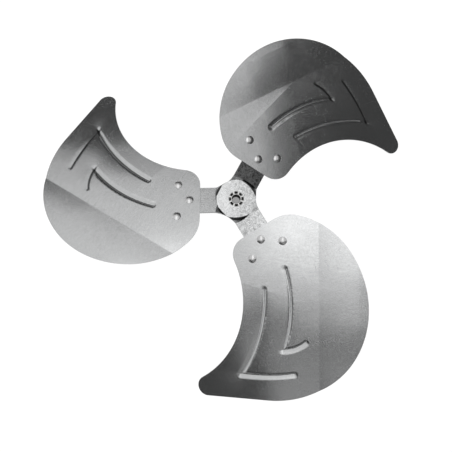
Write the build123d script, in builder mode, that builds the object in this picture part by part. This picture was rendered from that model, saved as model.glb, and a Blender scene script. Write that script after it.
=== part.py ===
from build123d import *
from math import cos, degrees, radians, sin, sqrt, tan
import os

os.makedirs("parts", exist_ok=True)

# Axial fan: three pressed sheet-metal blades riveted to the front of a stamped
# three-arm spider, with a turned hub staked through its middle.
# Millimetres. The fan turns about Z, +Z faces the front, and Z = 0 is the front
# face of the spider's disc. Each arm is drawn along +X, its leading side at -Y.

# Whole fan
fan_diameter = 609.6
blade_count = 3
first_arm_azimuth = 180
pitch = 18.0

# Blade blank, drawn flat
blade_thickness = 1.3
disc_radius = 148.5
disc_offset = 49.6
back_angle = 89.5
back_radius = 112.0
back_sweep_angle = 46.0
back_corner_radius = 49.0
outer_angle = -28.0
outer_edge_length = 94.5
tip_radius = 15.0
tip_sweep_angle = 150.5
leading_radius = 148.5
leading_corner_radius = 28.0

# Crease and the curved wing behind it, from the blade's root edge
crease_reach = 239.4
crease_offset = -42.5
crease_line_angle = 148.2
crease_angle = 10.0
crease_bend_radius = 6.0
wing_radius = 410.0

# Pressed beads: start, corner and end of each from the root edge, and the radii of its two legs
bead_routes = [
    ((81.3, -36.7), (173.9, -136.5), (207.6, -63.7), 237.0, -290.0),
    ((70.7, 6.7), (169.9, -60.0), (174.8, -24.5), 204.0, -55.0),
]
bead_width = 7.6
bead_depth = 2.7
bead_floor_radius = 1.0
bead_shoulder_radius = 9.0

# Spider
spider_thickness = 3.2
hub_disc_radius = 29.5
arm_width = 41.5
arm_drop = 2.4
ramp_angle = 55.0
rise_angle = 28.0
skirt_depth = 24.0
web_share = 0.296
pad_corner_radius = 9.0

# Rivets: one near the blade's root edge and a pair further out
rivet_shank_diameter = 6.35
rivet_head_diameter = 12.3
rivet_head_height = 3.0
rivet_crown_radius = 12.0
rivet_tail_diameter = 9.6
rivet_tail_height = 2.6
rivet_tail_chamfer = 0.8
rivet_clearance = 0.1
inner_rivet_inset = 15.9
outer_rivet_inset = 33.9
outer_rivet_spacing = 53.0
rivet_edge_distance = 11.0

# Hub
bore_diameter = 12.7
barrel_diameter = 28.6
barrel_length = 19.0
neck_diameter = 21.0
neck_clearance = 0.1
stake_lip_diameter = 23.2
stake_lip_height = 0.8
stake_count = 8
stake_circle_diameter = 19.2
stake_length = 4.8
stake_width = 2.8
stake_floor_length = 3.2
stake_floor_width = 0.6
stake_depth = 2.4
hub_chamfer = 1.0
bore_chamfer = 0.6

# Set screw
screw_diameter = 7.9
screw_head_width = 7.9
screw_head_height = 6.0
screw_clearance = 0.1
screw_standoff = 2.0
screw_point_gap = 0.6
screw_depth = 12.7
screw_chamfer = 0.6

arm_azimuths = [first_arm_azimuth - index * 360 / blade_count for index in range(blade_count)]


def on_arm(shape, azimuth):
    return Pos(0, 0, -arm_drop) * shape.rotate(Axis.X, pitch).rotate(Axis.Z, azimuth)


def write(shape, name):
    shape.label = name
    export_step(shape, f"parts/{name}.step")


# Blade blank: a large round disc that touches the swept circle, with a swept-back tip ahead of it
fan_radius = fan_diameter / 2
disc_centre = Vector(sqrt((fan_radius - disc_radius) ** 2 - disc_offset**2), -disc_offset)

with BuildSketch() as blank:
    with BuildLine():
        disc = CenterArc(disc_centre, disc_radius, back_angle, outer_angle - back_angle)
        outer_edge = Line(disc @ 1, disc @ 1 + (disc % 1) * outer_edge_length)
        tip = JernArc(outer_edge @ 1, outer_edge % 1, tip_radius, -tip_sweep_angle)
        back = JernArc(disc @ 0, -(disc % 0), back_radius, back_sweep_angle)
        back_corner = JernArc(back @ 1, back % 1, back_corner_radius, 180 - back_angle - back_sweep_angle)
        root_x = (back_corner @ 1).X
        leading_centre = tip @ 1 + (tip % 1).rotate(Axis.Z, 90) * leading_radius
        corner_x = root_x + leading_corner_radius
        corner_reach = leading_radius + leading_corner_radius
        corner_y = leading_centre.Y + sqrt(corner_reach**2 - (corner_x - leading_centre.X) ** 2)
        to_corner = Vector(corner_x, corner_y) - leading_centre
        corner_start = leading_centre + to_corner * (leading_radius / corner_reach)
        leading = TangentArc(tip @ 1, corner_start, tangent=tip % 1)
        TangentArc(corner_start, (root_x, corner_y), tangent=leading % 1)
        Line((root_x, corner_y), back_corner @ 1)
    make_face()

rivet_places = [
    (root_x + inner_rivet_inset, 0),
    (root_x + outer_rivet_inset, -outer_rivet_spacing / 2),
    (root_x + outer_rivet_inset, outer_rivet_spacing / 2),
]

# A bead is pressed as a V: its sides run on above the sheet to twice its width, to cut clear
bead_top = blade_thickness + bead_depth


def bead_section(plane, growth, whole=True):
    with BuildSketch(plane) as section:
        Polygon(
            (0, blade_thickness - bead_depth),
            (bead_width, bead_top),
            (-bead_width, bead_top),
            align=None,
        )
        fillet(section.vertices().sort_by(Axis.Y)[0], bead_floor_radius)
        if growth:
            offset(amount=growth)
        if not whole:
            split(bisect_by=Plane.YZ)
    return section.sketch


# Two swept legs with a round end at each point of the route
def bead_solid(start, corner, end, long_radius, short_radius, growth):
    with BuildLine(Plane(origin=(root_x, 0, 0))) as legs:
        RadiusArc(start, corner, long_radius)
        RadiusArc(corner, end, short_radius)
    with BuildPart() as solid:
        for leg in legs.edges():
            add(bead_section(Plane(leg @ 0, (leg % 0).rotate(Axis.Z, 90), leg % 0), growth))
            sweep(path=leg)
        for x, y in (start, corner, end):
            foot = Vector(root_x + x, y)
            add(bead_section(Plane(foot, (1, 0, 0), (0, -1, 0)), growth, whole=False))
            revolve(axis=Axis(foot, (0, 0, 1)))
    return solid.part


def bead_ridge(route):
    with BuildPart() as ridge:
        add(bead_solid(*route, blade_thickness))
        split(bisect_by=Plane.XY.offset(blade_thickness / 2), keep=Keep.BOTTOM)
    return ridge.part


# Blade: the camber section runs along the crease, and the blank's outline trims it
across_crease = Vector(1, 0).rotate(Axis.Z, crease_line_angle - 90)
along_crease = Vector(1, 0).rotate(Axis.Z, crease_line_angle - 180)
crease_plane = Plane(
    origin=(root_x + crease_reach, crease_offset),
    x_dir=across_crease,
    z_dir=along_crease,
)

with BuildPart() as blade:
    with BuildSketch(crease_plane):
        with BuildLine():
            panel = Line((-fan_diameter, 0), (0, 0))
            bend = JernArc(panel @ 1, panel % 1, crease_bend_radius, crease_angle)
            JernArc(bend @ 1, bend % 1, wing_radius, -degrees(disc_radius / wing_radius))
            offset(amount=blade_thickness, side=Side.LEFT)
        make_face()
    extrude(amount=fan_diameter, both=True)
    extrude(blank.sketch, amount=fan_radius, both=True, mode=Mode.INTERSECT)

    for route in bead_routes:
        add(bead_ridge(route))
        add(bead_solid(*route, 0), mode=Mode.SUBTRACT)
    panel_faces = blade.faces().filter_by(Plane.XY).sort_by(SortBy.AREA)[-2:]
    fillet([edge for face in panel_faces for edge in face.inner_wires().edges()], bead_shoulder_radius)

    with Locations(*rivet_places):
        Hole(rivet_shank_diameter / 2 + rivet_clearance)

for number, azimuth in enumerate(arm_azimuths, start=1):
    write(on_arm(blade.part, azimuth), f"blade_{number}")


# Spider blank: each arm widens in one curve into the disc's rim, and ends in a pad for the rivets
pitched = Plane((0, 0, -arm_drop)).rotated((pitch, 0, 0))
level_plane = Plane.XZ.offset(-arm_drop / tan(radians(pitch)))
between_arms = radians(180 / blade_count)
rim_corner = Vector(
    hub_disc_radius * cos(between_arms),
    hub_disc_radius * sin(between_arms) * cos(radians(pitch)),
)
arm_edge = arm_width / 2
pad_edge = outer_rivet_spacing / 2 + rivet_edge_distance
pad_start = rivet_places[0][0] - rivet_edge_distance
web_end = rim_corner.X + (pad_start - rim_corner.X) * web_share
pad_shoulder = rivet_places[1][0] - rivet_edge_distance
pad_end = rivet_places[1][0] + rivet_edge_distance

with BuildSketch(pitched) as arm_blank:
    with BuildLine():
        web = TangentArc((web_end, arm_edge), rim_corner, tangent=(-1, 0))
        Polyline(
            web @ 0,
            (pad_start, arm_edge),
            (pad_shoulder, pad_edge),
            (pad_end, pad_edge),
            (pad_end, 0),
            (0, 0),
            web @ 1,
        )
    make_face()
    outer_corners = arm_blank.vertices().filter_by_position(Axis.X, (web_end + pad_start) / 2, 2 * pad_end)
    fillet(outer_corners.filter_by_position(Axis.Y, arm_edge / 2, 2 * pad_edge), pad_corner_radius)
    mirror(about=Plane.XZ)
    with Locations(*rivet_places):
        Circle(rivet_shank_diameter / 2 + rivet_clearance, mode=Mode.SUBTRACT)


# Skirt: the sheet between the disc's rim and an arm, falling at a positive slope
def skirt(slope, side, trim, kept):
    run = skirt_depth / tan(radians(abs(slope)))
    drop = -skirt_depth if slope > 0 else skirt_depth
    lower_corner = hub_disc_radius - spider_thickness * tan(radians(slope / 2))
    inner = hub_disc_radius - 2 * spider_thickness
    with BuildPart() as sheet:
        with BuildSketch(Plane.XZ):
            Polygon(
                (inner, 0),
                (hub_disc_radius, 0),
                (hub_disc_radius + run, drop),
                (hub_disc_radius + run, drop - spider_thickness / cos(radians(slope))),
                (lower_corner, -spider_thickness),
                (inner, -spider_thickness),
                align=None,
            )
        revolve(axis=Axis.Z)
        extrude(arm_blank.sketch, amount=skirt_depth, both=True, mode=Mode.INTERSECT)
        split(bisect_by=level_plane, keep=side)
        split(bisect_by=trim, keep=kept)
    return sheet.part


# Arm: a pitched plate whose leading half meets a steep skirt and trailing half a gentle one
with BuildPart() as arm:
    extrude(arm_blank.sketch, amount=-spider_thickness)
    with BuildSketch(Plane.XZ):
        Polygon(
            (0, -skirt_depth),
            (hub_disc_radius + skirt_depth / tan(radians(ramp_angle)), -skirt_depth),
            (hub_disc_radius, 0),
            (hub_disc_radius + skirt_depth / tan(radians(rise_angle)), skirt_depth),
            (0, skirt_depth),
            align=None,
        )
    revolve(axis=Axis.Z, mode=Mode.SUBTRACT)
    add(skirt(ramp_angle, Keep.TOP, pitched.offset(-spider_thickness), Keep.TOP))
    add(skirt(-rise_angle, Keep.BOTTOM, pitched, Keep.BOTTOM))

with BuildPart() as spider:
    Cylinder(hub_disc_radius, spider_thickness, align=(Align.CENTER, Align.CENTER, Align.MAX))
    for azimuth in arm_azimuths:
        add(arm.part.rotate(Axis.Z, azimuth))
    Hole(neck_diameter / 2 + neck_clearance)
write(spider.part, "spider")


# Hub: the neck goes through the disc, and punch marks spread its end over the disc's front
with BuildPart() as hub:
    with Locations((0, 0, -spider_thickness)):
        Cylinder(barrel_diameter / 2, barrel_length, align=(Align.CENTER, Align.CENTER, Align.MAX))
    chamfer(hub.faces().sort_by(Axis.Z)[0].edges(), hub_chamfer)
    with Locations((0, 0, -spider_thickness)):
        Cylinder(neck_diameter / 2, spider_thickness, align=(Align.CENTER, Align.CENTER, Align.MIN))
    Cylinder(stake_lip_diameter / 2, stake_lip_height, align=(Align.CENTER, Align.CENTER, Align.MIN))
    Hole(bore_diameter / 2)
    chamfer(hub.edges().filter_by(GeomType.CIRCLE).group_by(SortBy.RADIUS)[0], bore_chamfer)
    with Locations((0, 0, stake_lip_height)):
        with PolarLocations(stake_circle_diameter / 2, stake_count):
            Wedge(
                stake_width,
                stake_depth,
                stake_length,
                (stake_width - stake_floor_width) / 2,
                (stake_length - stake_floor_length) / 2,
                (stake_width + stake_floor_width) / 2,
                (stake_length + stake_floor_length) / 2,
                rotation=(-90, 0, 0),
                align=(Align.CENTER, Align.MIN, Align.CENTER),
                mode=Mode.SUBTRACT,
            )
    with Locations(Location((0, 0, -screw_depth), (0, 90, 0))):
        Cylinder(
            screw_diameter / 2 + screw_clearance,
            barrel_diameter,
            align=(Align.CENTER, Align.CENTER, Align.MIN),
            mode=Mode.SUBTRACT,
        )
write(hub.part, "hub")


# Set screw, standing a little proud of the barrel
screw_point = bore_diameter / 2 + screw_point_gap
screw_shoulder = barrel_diameter / 2 + screw_standoff

with BuildPart() as set_screw:
    with Locations(Location((screw_point, 0, -screw_depth), (0, 90, 0))):
        Cylinder(
            screw_diameter / 2,
            screw_shoulder - screw_point,
            align=(Align.CENTER, Align.CENTER, Align.MIN),
        )
    chamfer(set_screw.faces().sort_by(Axis.X)[0].edges(), screw_chamfer)
    with Locations((screw_shoulder, 0, -screw_depth)):
        Box(
            screw_head_height,
            screw_head_width,
            screw_head_width,
            align=(Align.MIN, Align.CENTER, Align.CENTER),
        )
    chamfer(set_screw.faces().sort_by(Axis.X)[-1].edges(), screw_chamfer)
write(set_screw.part, "set_screw")


# Rivet: a low round head on the blade's front and a squeezed tail behind the spider's pad
with BuildPart() as rivet:
    with Locations((0, 0, blade_thickness)):
        Cylinder(
            rivet_head_diameter / 2,
            rivet_head_height,
            align=(Align.CENTER, Align.CENTER, Align.MIN),
        )
    with Locations((0, 0, blade_thickness + rivet_head_height - rivet_crown_radius)):
        Sphere(rivet_crown_radius, mode=Mode.INTERSECT)
    with Locations((0, 0, blade_thickness)):
        Cylinder(
            rivet_shank_diameter / 2,
            blade_thickness + spider_thickness,
            align=(Align.CENTER, Align.CENTER, Align.MAX),
        )
    with Locations((0, 0, -spider_thickness)):
        Cylinder(
            rivet_tail_diameter / 2,
            rivet_tail_height,
            align=(Align.CENTER, Align.CENTER, Align.MAX),
        )
    chamfer(rivet.faces().sort_by(Axis.Z)[0].edges(), rivet_tail_chamfer)

for number, azimuth in enumerate(arm_azimuths, start=1):
    for place, (x, y) in enumerate(rivet_places, start=1):
        write(on_arm(Pos(x, y, 0) * rivet.part, azimuth), f"rivet_{number}_{place}")
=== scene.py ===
import bpy
import math
from mathutils import Matrix, Vector

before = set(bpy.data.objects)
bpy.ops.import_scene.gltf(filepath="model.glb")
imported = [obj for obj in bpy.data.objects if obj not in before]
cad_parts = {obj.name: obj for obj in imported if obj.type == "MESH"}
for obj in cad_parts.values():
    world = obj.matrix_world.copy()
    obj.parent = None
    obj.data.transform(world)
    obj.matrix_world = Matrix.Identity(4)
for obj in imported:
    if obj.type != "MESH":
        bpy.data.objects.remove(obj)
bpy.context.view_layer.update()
bpy.ops.object.select_all(action="DESELECT")
print("frame loaded:", len(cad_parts), "nodes")


# A shader socket that can be used in sums, and that makes the other nodes of its material.
class Value:
    def __init__(self, tree, socket=None):
        self.tree = tree
        self.socket = socket

    def node(self, kind, settings={}, inputs={}, output=0):
        made = self.tree.nodes.new(kind)
        for name, setting in settings.items():
            if name == "stops":
                for stop, (place, level) in zip(made.color_ramp.elements, setting):
                    stop.position = place
                    stop.color = (level, level, level, 1)
            else:
                setattr(made, name, setting)
        for name, value in inputs.items():
            if isinstance(value, Value):
                self.tree.links.new(value.socket, made.inputs[name])
            else:
                made.inputs[name].default_value = value
        return Value(self.tree, made.outputs[output] if len(made.outputs) else None)

    def out(self, name):
        return Value(self.tree, self.socket.node.outputs[name])

    def __add__(self, other):
        return maths("ADD", self, other)

    def __radd__(self, other):
        return maths("ADD", other, self)

    def __sub__(self, other):
        return maths("SUBTRACT", self, other)

    def __rsub__(self, other):
        return maths("SUBTRACT", other, self)

    def __mul__(self, other):
        return maths("MULTIPLY", self, other)

    def __rmul__(self, other):
        return maths("MULTIPLY", other, self)


def maths(operation, first, second=0.0):
    held = first if isinstance(first, Value) else second
    return held.node("ShaderNodeMath", {"operation": operation}, {0: first, 1: second})


def vectorMaths(operation, first, second=(0, 0, 0), output=0):
    kind = {"operation": operation}
    return first.node("ShaderNodeVectorMath", kind, {0: first, 1: second}, output)


def scaled(held, vector, factor):
    # held is any Value of the material, because the vector may be plain numbers
    return held.node("ShaderNodeVectorMath", {"operation": "SCALE"}, {0: vector, "Scale": factor})


def dot(first, second):
    return vectorMaths("DOT_PRODUCT", first, second, "Value")


def distance(first, second):
    return vectorMaths("DISTANCE", first, second, "Value")


def axis(vector, name):
    # one coordinate of a vector
    return vector.node("ShaderNodeSeparateXYZ", {}, {0: vector}, name)


def azimuth(place):
    # a place's angle round the fan's axis, in radians
    return maths("ARCTAN2", axis(place, "Y"), axis(place, "X"))


def fromAxis(place):
    # a place's distance from the fan's axis
    return vectorMaths("LENGTH", vectorMaths("MULTIPLY", place, (1, 1, 0)), output="Value")


def turned(place, degrees, offset=(0, 0, 0)):
    # a place turned about the fan's axis, and then moved
    return place.node("ShaderNodeMapping", {}, {
        "Vector": place,
        "Rotation": (0, 0, math.radians(degrees)),
        "Location": offset,
    })


def ranged(value, begin, end, most=1.0, least=0.0, curve="LINEAR"):
    # least up to begin, most from end on, and blended between the two
    return value.node("ShaderNodeMapRange", {"interpolation_type": curve}, {
        "Value": value,
        "From Min": begin,
        "From Max": end,
        "To Min": least,
        "To Max": most,
    })


def noise(place, scale, detail, roughness=0.5, distortion=0.0, output=0):
    return place.node("ShaderNodeTexNoise", {}, {
        "Vector": place,
        "Scale": scale,
        "Detail": detail,
        "Roughness": roughness,
        "Distortion": distortion,
    }, output)


def objectPlace(start):
    return start.node("ShaderNodeTexCoord", {}, {}, "Object")


def objectNormal(start):
    return start.node("ShaderNodeTexCoord", {}, {}, "Normal")


def frontFace(start, whole=0.3):
    # 0 on surfaces that face the fan's back, and 1 where the normal's z is whole or more
    return ranged(axis(objectNormal(start), "Z"), 0.0, whole)


def newMaterial(name):
    material = bpy.data.materials.new(name)
    material.use_nodes = True
    material.node_tree.nodes.clear()
    return material, Value(material.node_tree)


def grey(level, tint):
    # a grey level becomes a colour with a slight tint
    channels = {channel: level * share for channel, share in enumerate(tint)}
    return level.node("ShaderNodeCombineColor", {}, channels)


def bumps(piece, height, more={}):
    return height.node("ShaderNodeBump", {}, {
        "Strength": piece["bumpStrength"],
        "Distance": piece["bumpHeight"],
        "Height": height,
        **more,
    })


def closeMetal(piece, tone, roughness, relief, metallic=1.0):
    # the metal's shader, from its piece's dictionary and what varies over it
    surface = tone.node("ShaderNodeBsdfPrincipled", {}, {
        "Base Color": grey(tone * piece["level"], piece["tint"]),
        "Metallic": metallic,
        "Roughness": roughness,
        "Normal": relief,
    })
    tone.node("ShaderNodeOutputMaterial", {}, {"Surface": surface})


def clothe(nodeName, material):
    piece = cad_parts[nodeName]
    piece.data.materials.clear()
    piece.data.materials.append(material)


# Galvanised sheet: zinc grains that each lean their own way, mill streaks, cloudy patches and
# speckle. Sizes and heights are in metres, and scales are pattern cells per metre. In every
# finish, Tone and Rough say how much something varies the metal's brightness and its roughness.
zinc = {
    "rolling": -60,  # turns the streaks from the arm's direction, in degrees
    "raggedScale": 700,
    "raggedShare": 0.9,  # how far a grain's edge strays, in grains
    "cloudScale": 14,
    "cloudRaggedness": 0.6,
    "streakScales": (12, 300, 300),
    "speckleScale": 900,
    "grainRough": 0.06,
    "cloudRough": -0.10,
    "speckleRough": 0.08,
    "fineHeight": 0.000004,
    "bumpStrength": 1.0,
    "bumpHeight": 1.0,  # the sheets' heights are in metres already
}


def galvanised(sheet, piece):
    # tone, roughness and height of a galvanised sheet, at a place in its own grain
    ragged = noise(sheet, zinc["raggedScale"], detail=3, output="Color")
    stray = piece["grainSize"] * zinc["raggedShare"]
    strayed = {0: ragged, 1: (stray, stray, stray), 2: sheet}
    pushed = sheet.node("ShaderNodeVectorMath", {"operation": "MULTIPLY_ADD"}, strayed)
    cells = {"Vector": pushed, "Scale": 1 / piece["grainSize"]}
    grain = sheet.node("ShaderNodeTexVoronoi", {}, cells, "Color")
    grainLevel = sheet.node("ShaderNodeSeparateColor", {}, {"Color": grain})
    fromMiddle = vectorMaths("SUBTRACT", pushed, grain.out("Position"))
    facet = dot(vectorMaths("SUBTRACT", grain, (0.5, 0.5, 0.5)), fromMiddle)
    cloud = noise(sheet, zinc["cloudScale"], detail=4, roughness=zinc["cloudRaggedness"])
    streak = noise(vectorMaths("MULTIPLY", sheet, zinc["streakScales"]), scale=1, detail=3)
    speckle = noise(sheet, zinc["speckleScale"], detail=2)
    tone = (
        (grainLevel - 0.5) * piece["grainTone"]
        + (cloud - 0.5) * (2 * piece["cloudDepth"])
        + (streak - 0.5) * (2 * piece["streakDepth"])
        + (speckle - 0.5) * piece["speckleDepth"]
        + 1
    )
    roughness = (
        (grainLevel.out("Green") - 0.5) * zinc["grainRough"]
        + (cloud - 0.5) * zinc["cloudRough"]
        + (speckle - 0.5) * zinc["speckleRough"]
        + piece["roughness"]
    )
    fine = streak * zinc["fineHeight"] + speckle * zinc["fineHeight"]
    height = facet * (2 * piece["grainLean"]) + fine
    return tone, roughness, height


# The blades. Places are in a blade's own flat frame, in metres: x out from the fan's axis along the
# arm, y across it towards the wing. Each L-shaped bead has a long leg and a short one, and each leg
# has its two ends, its arc's centre and its radius.
blade = {
    "level": 0.63,
    "tint": (0.99, 1.0, 1.005),
    "grainSize": 0.0016,
    "grainTone": 0.05,
    "grainLean": 0.012,
    "cloudDepth": 0.05,
    "streakDepth": 0.06,
    "speckleDepth": 0.05,
    "waveSize": 0.075,
    "waveHeight": 0.0006,
    "roughness": 0.23,
    "pitch": 18,
    # Pressing a long leg draws the sheet round it down, most at its corner. The reaches say how
    # fast that fades on the inside and the outside of the corner, and past it.
    "longLegs": [
        {
            "start": (0.1359, -0.0367),
            "end": (0.2285, -0.1365),
            "centre": (0.0158, -0.2410),
            "radius": 0.237,
            "depth": 0.0052,
            "reachInside": 0.024,
            "reachOutside": 0.055,
            "reachPast": 0.05,
        },
        {
            "start": (0.1253, 0.0067),
            "end": (0.2245, -0.0600),
            "centre": (0.0661, -0.1885),
            "radius": 0.204,
            "depth": 0.0009,
            "reachInside": 0.012,
            "reachOutside": 0.020,
            "reachPast": 0.015,
        },
    ],
    "shortLegs": [
        {
            "start": (0.2285, -0.1365),
            "end": (0.2622, -0.0637),
            "centre": (-0.0154, 0.0205),
            "radius": 0.290,
        },
        {
            "start": (0.2245, -0.0600),
            "end": (0.2294, -0.0245),
            "centre": (0.1754, -0.0351),
            "radius": 0.055,
        },
    ],
    "legFade": 0.005,
    "legSpan": 0.03,  # nothing further than this from the line between its ends belongs to a leg
    # The sheet droops past this line towards its tip, and eases out of the crease.
    "tipDroop": {"from": -0.095, "curve": 0.7},
    "creaseEase": {
        "through": (0.294, -0.0425),
        "across": (0.527, 0.850),
        "slope": 0.06,
        "reach": 0.015,
    },
    # The short legs are pressed shallower than the long ones, most on the walls that face the hub.
    # A long leg can be shallower too, from its middle on, towards the outside of its corner.
    "shallow": {
        "near": 0.008,
        "far": 0.012,
        "hubwardShare": 0.88,
        "outwardShare": 0.45,
        "evenTilt": 0.03,
        "shortLonger": 0.005,
        "longLonger": 0.003,
        "middleFrom": 0.0012,
        "middleTo": -0.0004,
    },
    # Painted shade lies in each bead as a thin dark line, on the side towards the inside of its
    # corner.
    "beadShade": {
        "aside": 0.0022,
        "coreShare": 0.125,
        "longWidth": 0.0046,
        "longDepth": 0.55,
        "shortWidth": 0.0056,
        "shortDepth": 0.85,
    },
    # Faint ridges that the press leaves across the panel and the wing, steep on their rear side.
    "ridges": [
        {
            "start": (0.0605, 0.0475),
            "end": (0.2154, 0.0087),
            "height": 0.0005,
            "rear": 0.006,
            "front": 0.035,
        },
        {
            "start": (0.1564, 0.1029),
            "end": (0.2653, 0.0369),
            "height": 0.0006,
            "rear": 0.008,
            "front": 0.035,
        },
    ],
    # What differs: the turn in degrees to the blade's own frame, where its grain starts, and how
    # much it shows of each thing that the press did, and of the painted shade in its beads.
    "copies": {
        "blade_1": {
            "material": "bladeSheetLeft",
            "turn": -180,
            "offset": (0.0, 0.0, 0.0),
            "shortShallow": 1.0,
            "longShallow": 0.0,
            "longShade": 1.0,
            "shortShade": 1.0,
            "ridges": 0.0,
        },
        "blade_2": {
            "material": "bladeSheetTop",
            "turn": -60,
            "offset": (0.7, 0.2, 0.0),
            "shortShallow": 1.0,
            "longShallow": 0.0,
            "longShade": 0.3,
            "shortShade": 1.0,
            "ridges": 1.0,
        },
        "blade_3": {
            "material": "bladeSheetBottom",
            "turn": 60,
            "offset": (0.1, 0.9, 0.0),
            "shortShallow": 0.0,
            "longShallow": 0.75,
            "longShade": 0.0,
            "shortShade": 0.0,
            "ridges": 0.3,
        },
    },
}


def bladePlane(place, turn):
    # a place in its blade's own flat frame
    stretch = 1 / math.cos(math.radians(blade["pitch"]))
    return vectorMaths("MULTIPLY", turned(place, turn), (1, stretch, 0))


def alongLine(flat, line):
    # how far along a line from its start a place lies, how far to its right, and the line's length
    run = line["end"][0] - line["start"][0], line["end"][1] - line["start"][1]
    length = math.hypot(*run)
    forward = (run[0] / length, run[1] / length, 0)
    rightward = (forward[1], -forward[0], 0)
    fromStart = vectorMaths("SUBTRACT", flat, (*line["start"], 0))
    return dot(fromStart, forward), dot(fromStart, rightward), length


def fromArc(flat, leg):
    # how far a place is from a leg's arc, away from the arc's centre
    return distance(flat, (*leg["centre"], 0)) - leg["radius"]


def besideLeg(flat, leg, longer=0.0):
    # 1 beside a leg and 0 past its ends
    along, across, length = alongLine(flat, leg)
    fromMiddle = maths("ABSOLUTE", along - length / 2)
    half = length / 2 + longer
    beside = maths("LESS_THAN", maths("ABSOLUTE", across), blade["legSpan"])
    return ranged(fromMiddle, half + blade["legFade"], half) * beside


def paintedBeadShade(flat, copy):
    # how much of the metal's brightness is kept along the beads, under their painted shade
    beadShade = blade["beadShade"]
    lines = (
        (blade["longLegs"], 1, beadShade["longWidth"], beadShade["longDepth"] * copy["longShade"]),
        (blade["shortLegs"], -1, beadShade["shortWidth"], beadShade["shortDepth"] * copy["shortShade"]),
    )
    front = frontFace(flat)
    kept = 1.0
    for legs, side, width, depth in lines:
        for leg in legs:
            away = maths("ABSOLUTE", fromArc(flat, leg) * side - beadShade["aside"])
            # painted shade: a dark line along each bead
            line = ranged(away, width / 2, width * beadShade["coreShare"], depth)
            kept = (1 - line * besideLeg(flat, leg) * front) * kept
    return kept


def shallowNormal(flat, copy):
    # the surface's direction, turned part of the way to the flat panel's where a leg is shallow
    shallow = blade["shallow"]
    pitch = math.radians(blade["pitch"])
    turnBack = Matrix.Rotation(math.radians(-copy["turn"]), 3, "Z")
    panel = tuple(turnBack @ Vector((0, -math.sin(pitch), math.cos(pitch))))
    outward = tuple(turnBack @ Vector((1, 0, 0)))
    normal = objectNormal(flat)
    onShortLeg = 0.0
    for leg in blade["shortLegs"]:
        within = besideLeg(flat, leg, shallow["shortLonger"])
        band = ranged(maths("ABSOLUTE", fromArc(flat, leg)), shallow["far"], shallow["near"])
        onShortLeg = maths("MAXIMUM", band * within, onShortLeg)
    hubward = shallow["hubwardShare"] * copy["shortShallow"]
    outwardMost = shallow["outwardShare"] * copy["shortShallow"]
    even = shallow["evenTilt"]
    share = onShortLeg * ranged(dot(normal, outward), even, -even, hubward, outwardMost)
    for leg in blade["longLegs"]:
        offside = fromArc(flat, leg)
        within = besideLeg(flat, leg, shallow["longLonger"])
        band = ranged(offside, -shallow["far"], -shallow["near"])
        outside = ranged(offside, shallow["middleFrom"], shallow["middleTo"], copy["longShallow"])
        share = maths("MAXIMUM", band * outside * within, share)
    kept = scaled(flat, normal, 1 - share)
    flattened = scaled(flat, panel, share * dot(normal, panel))
    return vectorMaths("NORMALIZE", vectorMaths("ADD", kept, flattened))


def inReaches(offside, above, below):
    # how far to one side of a line and how far to its other side, each in reaches of its own
    return (
        maths("MAXIMUM", offside, 0.0) * (1 / above),
        maths("MINIMUM", offside, 0.0) * (1 / below),
    )


def pressRidges(flat):
    # height of the press ridges, in metres
    total = 0.0
    for ridge in blade["ridges"]:
        along, across, length = alongLine(flat, ridge)
        fromMiddle = maths("ABSOLUTE", along - length / 2)
        # full along its middle half, and fading to nothing at its ends
        height = ranged(fromMiddle, length / 2, length / 4, ridge["height"], curve="SMOOTHSTEP")
        ahead, behind = inReaches(across, ridge["front"], ridge["rear"])
        total = maths("EXPONENT", behind - ahead) * height + total
    return total


def drawnIn(flat):
    # height of the sheet round the beads, past the tip's line and behind the crease, in metres
    droop, ease = blade["tipDroop"], blade["creaseEase"]
    pastLine = maths("MINIMUM", axis(flat, "Y") - droop["from"], 0.0)
    fromCrease = vectorMaths("SUBTRACT", flat, (*ease["through"], 0))
    behind = maths("MAXIMUM", dot(fromCrease, (*ease["across"], 0)), 0.0)
    eased = maths("EXPONENT", behind * (-1 / ease["reach"])) * (ease["slope"] * ease["reach"])
    total = pastLine * pastLine * -droop["curve"] + eased
    for leg in blade["longLegs"]:
        inside, outside = inReaches(fromArc(flat, leg), leg["reachInside"], leg["reachOutside"])
        beside = inside + outside
        along, _, length = alongLine(flat, leg)
        onLeg = maths("MAXIMUM", maths("MINIMUM", along, length), 0.0)
        past = maths("MAXIMUM", along - length, 0.0) * (1 / leg["reachPast"])
        away = maths("SQRT", beside * beside + past * past)
        total = total + maths("EXPONENT", away * -1) * onLeg * (-leg["depth"] / length)
    return total


def bladeSheet(copy):
    material, start = newMaterial(copy["material"])
    place = objectPlace(start)
    sheet = turned(place, copy["turn"] + zinc["rolling"], copy["offset"])
    tone, roughness, height = galvanised(sheet, blade)
    wave = noise(sheet, 1 / blade["waveSize"], detail=1) * blade["waveHeight"]
    flat = bladePlane(place, copy["turn"])
    pressed = height + wave + drawnIn(flat) + pressRidges(flat) * copy["ridges"]
    relief = bumps(zinc, pressed, {"Normal": shallowNormal(flat, copy)})
    closeMetal(blade, tone * paintedBeadShade(flat, copy), roughness, relief)
    return material


for nodeName, copy in blade["copies"].items():
    clothe(nodeName, bladeSheet(copy))
print("blades finished")
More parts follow.
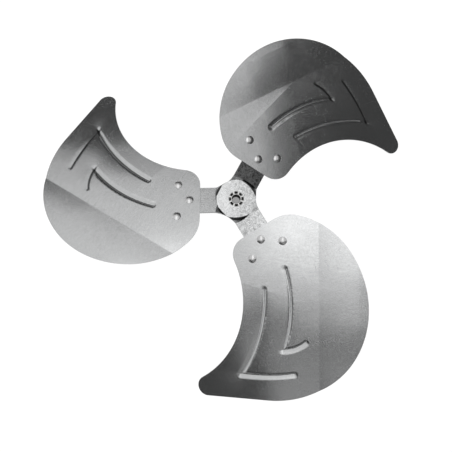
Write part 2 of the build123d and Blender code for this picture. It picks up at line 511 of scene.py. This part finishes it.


# The spider has painted shade: black where it folds steeply down round the disc, and its top arm
# painted darker as shade, and mottled. Azimuths and the arcs' half lengths are in degrees, the rest
# in metres. The mottle grows from one place on x to the other.
spider = {
    "level": 0.62,
    "tint": (0.99, 1.0, 1.005),
    "grainSize": 0.0028,
    "grainTone": 0.10,
    "grainLean": 0.013,
    "cloudDepth": 0.12,
    "streakDepth": 0.04,
    "speckleDepth": 0.03,
    "roughness": 0.27,
    "turn": 35,
    "offset": (0.4, 0.3, 0.0),
    "slopes": {"gentle": 0.84, "steep": 0.66, "depth": 0.3},
    "arcDepth": 0.95,
    "arcEdge": 0.35,
    "arcs": [
        {"azimuth": 39, "half": 37, "radius": 0.0302, "width": 0.0058},
        {"azimuth": -85, "half": 31, "radius": 0.0300, "width": 0.0050},
        {"azimuth": 152, "half": 19, "radius": 0.0303, "width": 0.0046},
        {"azimuth": -139, "half": 18, "radius": 0.0298, "width": 0.0034},
    ],
    "shadedArm": {
        "azimuth": 60,
        "from": 0.0285,
        "to": 0.0315,
        "depth": 0.78,
        "mottle": 1.1,
        "least": 0.05,
    },
    "mottle": {
        "size": 0.0040,
        "raggedness": 0.6,
        "distortion": 1.2,
        "from": -0.025,
        "to": 0.01,
        "depth": 1.9,
    },
}


def spiderShadeAndMottle(place):
    # what the tone of the spider's sheet is multiplied by: painted shade and a mottle
    slopes, arm, mottle = spider["slopes"], spider["shadedArm"], spider["mottle"]
    front = frontFace(place)
    radius = fromAxis(place)
    upright = axis(objectNormal(place), "Z")
    # painted shade: steep folds, and the arcs round the disc's rim, are darkened
    foldShade = ranged(upright, slopes["gentle"], slopes["steep"], slopes["depth"])
    for arc in spider["arcs"]:
        angle = azimuth(turned(place, -arc["azimuth"])) * (1 / math.radians(arc["half"]))
        away = (radius - arc["radius"]) * (2 / arc["width"])
        inside = ranged(1 - angle * angle - away * away, 0.0, spider["arcEdge"], spider["arcDepth"])
        foldShade = maths("MAXIMUM", foldShade, inside)
    # painted shade: the top arm is darkened, with a mottle in it
    turn = math.radians(arm["azimuth"])
    outward = dot(place, (math.cos(turn), math.sin(turn), 0))
    onShadedArm = ranged(outward, arm["from"], arm["to"]) * front
    blotch = noise(place, 1 / mottle["size"], 2, mottle["raggedness"], mottle["distortion"]) - 0.5
    armShadeAndMottle = maths("MAXIMUM", 1 - onShadedArm * (blotch * arm["mottle"] + arm["depth"]), arm["least"])
    mottled = blotch * ranged(axis(place, "X"), mottle["from"], mottle["to"], mottle["depth"]) + 1
    return (1 - foldShade * front) * armShadeAndMottle * mottled


def spiderSheet(name):
    material, start = newMaterial(name)
    place = objectPlace(start)
    sheet = turned(place, spider["turn"] + zinc["rolling"], spider["offset"])
    tone, roughness, height = galvanised(sheet, spider)
    closeMetal(spider, tone * spiderShadeAndMottle(place), roughness, bumps(zinc, height))
    return material


clothe("spider", spiderSheet("spiderSheet"))
print("spider finished")


# The hub is turned and zinc plated: fine tool rings round its axis, painted shade in the punch
# marks of its staked lip, and a bore painted dark as shade.
hub = {
    "level": 0.66,
    "tint": (1.0, 1.0, 0.99),
    "ringPitch": 0.0004,
    "ringLean": 0.9,
    "ringTone": 0.14,
    "patchScale": 160,
    "patchTone": 0.3,
    "patchRough": 0.3,
    "roughness": 0.3,
    "bumpStrength": 0.15,
    "bumpHeight": 0.0003,
    "marks": 8,
    "markFrom": -0.85,
    "markTo": -0.3,
    "markInside": 0.0076,
    "markOutside": 0.0116,
    "markEdge": 0.0003,
    "markLowest": -0.0031,
    "markShade": 0.92,
    "boreRadius": 0.0065,
    "boreShade": 0.95,
    "boreRough": 0.6,
}


def punchMarkShade(place, radius):
    # 1 in the punch marks of the staked lip, which are painted dark as shade
    edge = hub["markEdge"]
    around = maths("COSINE", azimuth(place) * hub["marks"])
    marked = ranged(around, hub["markFrom"], hub["markTo"])
    inner = ranged(radius, hub["markInside"] - edge, hub["markInside"] + edge)
    outer = ranged(radius, hub["markOutside"] + edge, hub["markOutside"] - edge)
    return marked * inner * outer * maths("GREATER_THAN", axis(place, "Z"), hub["markLowest"])


def turnedSteel(name):
    material, start = newMaterial(name)
    place = objectPlace(start)
    radius = fromAxis(place)
    # the bore is painted dark, as shade, and is not metal
    bore = maths("LESS_THAN", radius, hub["boreRadius"])
    # painted shade in the punch marks and in the bore
    paintedShade = punchMarkShade(place, radius) * hub["markShade"] + bore * hub["boreShade"]
    along = start.node("ShaderNodeCombineXYZ", {}, {0: radius + axis(place, "Z") * hub["ringLean"]})
    ring = noise(along, 1 / hub["ringPitch"], detail=2)
    patch = noise(place, hub["patchScale"], detail=4)
    tone = ((ring - 0.5) * hub["ringTone"] + (patch - 0.5) * hub["patchTone"] + 1) * (1 - paintedShade)
    roughness = (patch - 0.5) * hub["patchRough"] + bore * hub["boreRough"] + hub["roughness"]
    closeMetal(hub, tone, roughness, bumps(hub, ring), 1 - bore)
    return material


clothe("hub", turnedSteel("hubSteel"))
print("hub finished")


# The rivets have plated heads with small dents of the setting tool.
rivet = {
    "level": 0.66,
    "tint": (1.0, 1.0, 1.0),
    "dentSize": 0.0022,
    "dentTone": 0.2,
    "dentRough": 0.12,
    "speckleScale": 1600,
    "speckleTone": 0.1,
    "speckleRough": 0.1,
    "roughness": 0.27,
    "bumpStrength": 0.2,
    "bumpHeight": 0.0003,
}


def platedRivet(name):
    material, start = newMaterial(name)
    place = objectPlace(start)
    dent = noise(place, 1 / rivet["dentSize"], detail=2)
    speckle = noise(place, rivet["speckleScale"], detail=2)
    tone = (dent - 0.5) * rivet["dentTone"] + (speckle - 0.5) * rivet["speckleTone"] + 1
    varied = (dent - 0.5) * rivet["dentRough"] + (speckle - 0.5) * rivet["speckleRough"]
    closeMetal(rivet, tone, varied + rivet["roughness"], bumps(rivet, dent))
    return material


rivetSteel = platedRivet("rivetSteel")
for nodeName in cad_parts:
    if nodeName.startswith("rivet"):
        clothe(nodeName, rivetSteel)
print("rivets finished")


# The set screw is black oxide, rubbed brighter in places.
setScrew = {
    "level": 0.16,
    "rubbedTone": 2.1875,
    "tint": (1.0, 1.0, 1.02),
    "rubScale": 500,
    "rubFrom": 0.5,
    "rubTo": 0.72,
    "rubRough": 0.2,
    "roughness": 0.32,
    "bumpStrength": 0.15,
    "bumpHeight": 0.0002,
}


def blackOxide(name):
    material, start = newMaterial(name)
    rub = noise(objectPlace(start), setScrew["rubScale"], detail=4)
    rubbed = ranged(rub, setScrew["rubFrom"], setScrew["rubTo"])
    tone = rubbed * (setScrew["rubbedTone"] - 1) + 1
    roughness = rub * setScrew["rubRough"] + setScrew["roughness"]
    closeMetal(setScrew, tone, roughness, bumps(setScrew, rub))
    return material


clothe("set_screw", blackOxide("screwSteel"))
print("set screw finished")


# Floor, white to the camera and in the metal, with the object's shadow kept. Under the hub the
# floor has a painted shadow, which the bore shows.
floorPlan = {
    "size": 6.0,
    "height": -0.0692,
    "white": 0.9,
    "shadowShare": 0.2,
    "glow": 1.2,
    "glossyShare": 0.4,
    "underHub": (0.0022, 0.0109, -0.0692),
    "underHubSize": 0.026,
    "underHubStops": [(0.35, 1), (1.0, 0)],
    "underHubShade": 0.72,
}


def layFloor(plan):
    bpy.ops.mesh.primitive_plane_add(size=plan["size"], location=(0, 0, plan["height"]))
    floor = bpy.context.object
    floor.name = "floor"
    material, start = newMaterial("paleFloor")
    ray = start.node("ShaderNodeLightPath", {}, {}, "Is Camera Ray")
    seen = maths("MAXIMUM", ray, ray.out("Is Glossy Ray") * plan["glossyShare"])
    away = distance(start.node("ShaderNodeNewGeometry", {}, {}, "Position"), plan["underHub"])
    nearness = {"Fac": away * (1 / plan["underHubSize"])}
    # painted shadow on the floor under the hub
    paintedShadow = start.node("ShaderNodeValToRGB", {"stops": plan["underHubStops"]}, nearness)
    white = grey(1 - paintedShadow * plan["underHubShade"], (1, 1, 1))
    paint = start.node("ShaderNodeBsdfDiffuse", {}, {"Color": (plan["white"],) * 3 + (1,)})
    glow = start.node("ShaderNodeEmission", {}, {"Color": white, "Strength": plan["glow"]})
    glowShare = seen * (1 - plan["shadowShare"])
    lit = start.node("ShaderNodeMixShader", {}, {0: glowShare, 1: paint, 2: glow})
    # clear from below, so that the fan's back can be looked at
    below = start.node("ShaderNodeNewGeometry", {}, {}, "Backfacing")
    clear = start.node("ShaderNodeBsdfTransparent")
    mixed = start.node("ShaderNodeMixShader", {}, {0: below, 1: lit, 2: clear})
    start.node("ShaderNodeOutputMaterial", {}, {"Surface": mixed})
    floor.data.materials.append(material)


layFloor(floorPlan)
print("floor laid")


# Studio light: softboxes over the front and one standing at the left, and a dim room round them
# that is white only where the camera looks past the floor. A softbox fills its spans, in metres.
studio = {
    "room": 0.06,
    "overhead": [
        {"name": "window", "x": (-2.4, 0.02), "y": (-0.78, 1.48), "z": 1.0, "radiance": 0.72},
        {"name": "key", "x": (-0.46, 0.83), "y": (-0.47, 0.66), "z": 0.98, "radiance": 0.68},
        {"name": "fill", "x": (-0.6, 0.9), "y": (-2.2, -0.95), "z": 1.0, "radiance": 0.32},
        {"name": "upper", "x": (0.04, 0.6), "y": (0.68, 1.15), "z": 0.97, "radiance": 0.42},
    ],
    "standing": {
        "name": "side",
        "x": -2.45,
        "y": (-1.3, 2.6),
        "z": (-0.05, 0.97),
        "radiance": 0.66,
    },
}


def lightRoom(plan):
    world = bpy.data.worlds.new("studio")
    bpy.context.scene.world = world
    world.use_nodes = True
    world.node_tree.nodes.clear()
    start = Value(world.node_tree)
    ray = start.node("ShaderNodeLightPath", {}, {}, "Is Camera Ray")
    strength = ray * (1 - plan["room"]) + plan["room"]
    room = start.node("ShaderNodeBackground", {}, {"Color": (1, 1, 1, 1), "Strength": strength})
    start.node("ShaderNodeOutputWorld", {}, {"Surface": room})


def middle(span):
    return (span[0] + span[1]) / 2


def addSoftbox(box, place, turn, wide, deep):
    bpy.ops.object.light_add(type="AREA", location=place, rotation=turn)
    lamp = bpy.context.object
    lamp.name = box["name"]
    lamp.data.shape = "RECTANGLE"
    lamp.data.size = wide[1] - wide[0]
    lamp.data.size_y = deep[1] - deep[0]
    lamp.data.energy = box["radiance"] * math.pi * lamp.data.size * lamp.data.size_y
    lamp.visible_camera = False


def placeSoftboxes(plan):
    downward, rightward = (0, 0, 0), (0, -math.pi / 2, 0)
    for box in plan["overhead"]:
        place = (middle(box["x"]), middle(box["y"]), box["z"])
        addSoftbox(box, place, downward, box["x"], box["y"])
    box = plan["standing"]
    place = (box["x"], middle(box["y"]), middle(box["z"]))
    addSoftbox(box, place, rightward, box["z"], box["y"])


lightRoom(studio)
placeSoftboxes(studio)
print("studio lit")


# Camera at the photograph's viewing angle, close over the fan.
viewpoint = {
    "place": (-0.01550, -0.07710, 0.49080),
    "right": (0.9998, -0.0210, -0.0029),
    "up": (0.0212, 0.9896, 0.1426),
    "lens": 26.31,
    "sensor": 36,
    "shift": (-0.0001, -0.0501),
    "nearest": 0.01,
}


def setCamera(plan):
    bpy.ops.object.camera_add()
    camera = bpy.context.object
    right = Vector(plan["right"]).normalized()
    up = Vector(plan["up"])
    up = (up - right * up.dot(right)).normalized()
    back = right.cross(up)
    turn = Matrix((right, up, back)).transposed().to_4x4()
    camera.matrix_world = Matrix.Translation(plan["place"]) @ turn
    camera.data.sensor_fit = "HORIZONTAL"
    camera.data.sensor_width = plan["sensor"]
    camera.data.lens = plan["lens"]
    camera.data.shift_x, camera.data.shift_y = plan["shift"]
    camera.data.clip_start = plan["nearest"]
    bpy.context.scene.camera = camera


setCamera(viewpoint)
bpy.context.scene.view_settings.view_transform = "Standard"
print("camera set")
